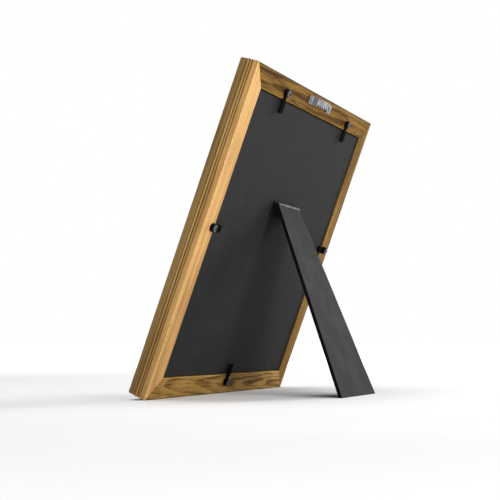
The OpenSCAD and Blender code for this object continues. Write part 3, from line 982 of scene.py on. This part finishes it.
@dataclass
class Hardware:
    """Everything besides the moulding that is made again with eased edges."""

    eased: tuple[tuple[Eased, str], ...] = (
        # The hanger's sides and slopes are darkened as painted shade.
        (Eased("sawtooth_hanger", "hanger_steel", width=0.12, rim=True), "hanger"),
        (Eased("hanger_nails", "hanger_steel", width=0.22), "hanger"),
        (Eased("button_screws", "black_metal", width=0.1, segments=2, ring=(1.3, 2.35)), "screw"),
        (Eased("turn_button_top_left", "black_metal", Body.BUTTON_TOP_LEFT, 0.25), "button"),
        (Eased("turn_button_top_right", "black_metal", Body.BUTTON_TOP_RIGHT, 0.25), "button"),
        (Eased("turn_button_side_left", "black_metal", Body.BUTTON_SIDE_LEFT, 0.25), "button"),
        (Eased("turn_button_side_right", "black_metal", Body.BUTTON_SIDE_RIGHT, 0.25), "button"),
        (Eased("turn_button_bottom", "black_metal", Body.BUTTON_BOTTOM, 0.25), "button"),
        (Eased("backing_board", "black_board", width=0.18), "board"),
        (Eased("window_mat", "mat_card", width=0.04, segments=2), "mat"),
        (Eased("easel_leg", "leg_board", Body.LEG, 0.22, rim=True), "leg"),
        (Eased("hinge_leaf_leg", "hinge_steel", Body.LEG, 0.08, 2), "hinge_leg"),
        (Eased("leg_tacks", "hinge_steel", Body.LEG, 0.12), "hinge_leg"),
        (Eased("hinge_leaf_board", "black_metal", width=0.08, segments=2), "hinge_board"),
    )
    kept: tuple[tuple[str, str], ...] = (
        ("corner_dowels", "dowel"), ("glass_pane", "glass"), ("picture_print", "print"),
        ("filler_card", "filler"), ("board_rivets", "hinge_board"), ("hinge_pin", "hinge_pin"),
    )

    def build(self, finishes: dict[str, bpy.types.Material]) -> None:
        """Makes the eased pieces and dresses the CAD nodes that stay.

        Args:
            finishes: Material of each kind of piece.
        """
        for piece, kind in self.eased:
            piece.build(finishes[kind])
        for node, kind in self.kept:
            mesh = frame["nodes"][node].data
            mesh.materials.clear()
            mesh.materials.append(finishes[kind])
            log.info("%s: CAD shape kept", node)


# ---------------------------------------------------------------------------------------------
# Stage


@dataclass(frozen=True)
class Stage:
    """White floor and background with soft studio light."""

    floor_size: float = 60.0
    floor_colour: Colour = (0.88, 0.88, 0.88)
    floor_patch: float = 0.985
    backdrop: float = 1.0
    fill: float = 0.2
    glow: float = 1.0
    glow_start: float = 400.0
    glow_end: float = 1300.0

    def build(self) -> None:
        """Makes the floor and the white surroundings."""
        mesh = bpy.data.meshes.new("studio_floor")
        bm = bmesh.new()
        bmesh.ops.create_grid(bm, x_segments=1, y_segments=1, size=self.floor_size / 2)
        bm.to_mesh(mesh)
        bm.free()
        floor = bpy.data.objects.new("studio_floor", mesh)
        bpy.context.scene.collection.objects.link(floor)
        surface = Surface("studio_sweep")
        mottle = surface.group(GROUPS.mottle, {
            "Vector": surface.place, "Fine": 0.6, "Coarse": 0.01,
        })
        tone = tuple(self.floor_patch * c for c in self.floor_colour)
        colour = surface.mix(mottle.outputs["Mottle"], self.floor_colour, tone)
        rough = surface.ramp(mottle.outputs["Tooth"], 0.0, 1.0, 0.8, 0.9)
        flat = surface.vector("MULTIPLY", surface.add("ShaderNodeTexCoord").outputs["Object"],
                              (1 / MM, 1 / MM, 0.0))
        reach = surface.add("ShaderNodeVectorMath", {0: flat}, operation="LENGTH").outputs["Value"]
        far = surface.ramp(reach, self.glow_start, self.glow_end)
        surface.set(Base_Color=colour, Roughness=rough, Specular_IOR_Level=0.1,
                    Emission_Color=surface.mix(far, (0.0, 0.0, 0.0), (1.0, 1.0, 1.0)),
                    Emission_Strength=self.glow)
        surface.relief(mottle.outputs["Tooth"], 0.01)
        mesh.materials.append(surface.material)
        world = bpy.data.worlds.new("studio")
        bpy.context.scene.world = world
        world.use_nodes = True
        tree = Tree(world.node_tree)
        seen = tree.add("ShaderNodeLightPath").outputs["Is Camera Ray"]
        strength = tree.ramp(seen, 0.0, 1.0, self.fill, self.backdrop)
        background = world.node_tree.nodes["Background"]
        background.inputs["Color"].default_value = (1.0, 1.0, 1.0, 1.0)
        world.node_tree.links.new(strength, background.inputs["Strength"])


@dataclass(frozen=True)
class SoftBox:
    """An area light aimed at the frame."""

    name: str
    place: Triple
    size: float
    power: float
    aim: Triple = (0.0, 0.0, 0.1)
    colour: Colour = (1.0, 1.0, 1.0)

    def build(self) -> None:
        """Adds the light."""
        data = bpy.data.lights.new(self.name, "AREA")
        data.shape = "DISK"
        data.size = self.size
        data.energy = self.power
        data.color = self.colour
        light = bpy.data.objects.new(self.name, data)
        bpy.context.scene.collection.objects.link(light)
        light.location = self.place
        light.rotation_mode = "QUATERNION"
        way = Vector(self.aim) - Vector(self.place)
        light.rotation_quaternion = way.to_track_quat("-Z", "Y")


@dataclass(frozen=True)
class Camera:
    """The main view: low, from behind and from the frame's +X side."""

    place: Triple = (0.78748, 0.32407, 0.03998)
    azimuth: float = 113.866
    elevation: float = -4.48
    lens: float = 82.545
    sensor: float = 36.0

    def build(self) -> None:
        """Adds the camera and makes it the scene's own."""
        data = bpy.data.cameras.new("main_view")
        data.lens = self.lens
        data.sensor_width = self.sensor
        data.clip_start = 0.02
        data.clip_end = 200.0
        camera = bpy.data.objects.new("main_view", data)
        bpy.context.scene.collection.objects.link(camera)
        turn = math.radians(self.azimuth)
        rise = math.radians(self.elevation)
        back = Vector((math.sin(turn) * math.cos(rise), -math.cos(turn) * math.cos(rise), math.sin(rise)))
        camera.location = self.place
        camera.rotation_mode = "QUATERNION"
        camera.rotation_quaternion = (-back).to_track_quat("-Z", "Y")
        bpy.context.scene.camera = camera


# ---------------------------------------------------------------------------------------------
# The whole


def woods() -> dict[str, bpy.types.Material]:
    """Makes the wood of each length of moulding.

    Returns:
        The materials by CAD node, each with its own tone, set for the main view.
    """
    # The right stile is much lighter than the other lengths: partly its own wood tone, partly a painted
    # sheen of the lacquer along its grain.
    bright = Wood("oak_honey", (0.72, 0.425, 0.15), (0.38, 0.19, 0.062), Axis.UPRIGHT,
                  pith=(70.0, 12.0), tilt=(0.3, 0.2), offset=20.0,
                  ring_spacing=2.2, ring_strength=0.22, figure=0.35, warp=2.0)
    left = Wood("oak_brown", (0.30, 0.163, 0.040), (0.10, 0.052, 0.014), Axis.UPRIGHT,
                pith=(46.0, -30.0), tilt=(0.5, 0.8), offset=300.0,
                ring_spacing=2.6, ring_strength=0.65, figure=0.45, coat=0.0, gloss=0.015)
    top = Wood("oak_streaked", (0.25, 0.132, 0.020), (0.06, 0.027, 0.006), Axis.ACROSS,
               pith=(22.0, -215.0), tilt=(1.4, 2.0), offset=150.0,
               ring_spacing=3.4, ring_strength=0.85, figure=0.5, warp=2.6, coat=0.0, gloss=0.015)
    bottom = Wood("oak_arched", (0.44, 0.251, 0.060), (0.10, 0.048, 0.007), Axis.ACROSS,
                  pith=(9.0, -8.0), tilt=(2.2, 3.2), offset=60.0,
                  ring_spacing=2.4, ring_strength=0.8, figure=0.3, warp=4.0)
    return {
        "stile_right": bright.build(), "stile_left": left.build(),
        "rail_top": top.build(), "rail_bottom": bottom.build(),
    }


def finishes() -> dict[str, bpy.types.Material]:
    """Makes every other finish.

    Returns:
        The materials by kind of piece.
    """
    nickel = (0.10, 0.099, 0.098)
    black = (0.0022, 0.0022, 0.0024)
    painted = {"metallic": 0.0, "worn_metal": 0.0}
    made = {
        "board": Coated("black_paper_board", (0.012, 0.012, 0.012), (0.037, 0.037, 0.0375),
                        (0.07, 0.068, 0.064), roughness=0.78, wear=0.2),
        "leg": Coated("black_paper_leg", (0.024, 0.024, 0.024), (0.043, 0.043, 0.043),
                      (0.09, 0.086, 0.08), roughness=0.78, rim=(0.006, 0.006, 0.006), on_leg=True),
        "mat": Coated("mat_card", (0.84, 0.82, 0.76), (0.90, 0.88, 0.83), (0.95, 0.95, 0.93),
                      roughness=0.85, lint=0.1),
        "filler": Coated("grey_card", (0.60, 0.56, 0.48), (0.68, 0.64, 0.56), (0.3, 0.28, 0.25),
                         roughness=0.85),
        "dowel": Coated("beech_dowel", (0.62, 0.44, 0.25), (0.72, 0.54, 0.33), (0.4, 0.26, 0.14),
                        roughness=0.6),
        "button": Metal("black_lacquer_button", black, (0.004, 0.004, 0.004),
                        (0.012, 0.012, 0.012), roughness=0.7, gloss=0.006, **painted),
        # The worn colour also paints the highlight ring on each screw head.
        "screw": Metal("black_oxide_screw", black, (0.01, 0.01, 0.01), (0.15, 0.152, 0.16),
                       roughness=0.6, wear=1.6, gloss=0.02, **painted),
        # The board's hinge leaf is black, partly its own lacquer and partly painted shade matching the
        # leg's shadow around it.
        "hinge_board": Metal("black_leaf_painted_shade", (0.008, 0.008, 0.008), (0.02, 0.02, 0.02),
                             (0.02, 0.02, 0.02), roughness=0.6, gloss=0.01, **painted),
        # The hanger's rim colour is painted shade on its sides, ends and slopes.
        "hanger": Metal("zinc_hanger", (0.24, 0.235, 0.25), (0.17, 0.17, 0.18), (0.3, 0.3, 0.3),
                        roughness=0.5, rim=(0.03, 0.03, 0.032)),
        "hinge_leg": Metal("nickel_leaf", nickel, (0.095, 0.094, 0.093), (0.1, 0.099, 0.098),
                           roughness=0.7, gloss=0.03, on_leg=True, lacquer_above=-1.75),
        "hinge_pin": Metal("black_pin", black, (0.01, 0.01, 0.01), (0.2, 0.2, 0.2),
                           roughness=0.4, metallic=0.0, worn_metal=0.8),
    }
    return {kind: finish.build() for kind, finish in made.items()} | {
        "glass": Glass().build(), "print": Print().build(),
    }


def main() -> None:
    """Builds the frame, its stage and its camera."""
    logging.basicConfig(level=logging.INFO, format="%(name)s: %(message)s")
    bpy.context.scene.view_settings.view_transform = "Standard"
    Moulding().build(woods())
    Hardware().build(finishes())
    Stage().build()
    SoftBox("key", place=(-1.6, 0.75, 0.75), size=0.8, power=22.0).build()
    SoftBox("edge", place=(0.45, 1.5, 0.2), size=0.7, power=12.0).build()
    SoftBox("overhead", place=(0.1, 0.1, 1.7), size=1.6, power=24.0).build()
    Camera().build()


if __name__ == "__main__":
    main()
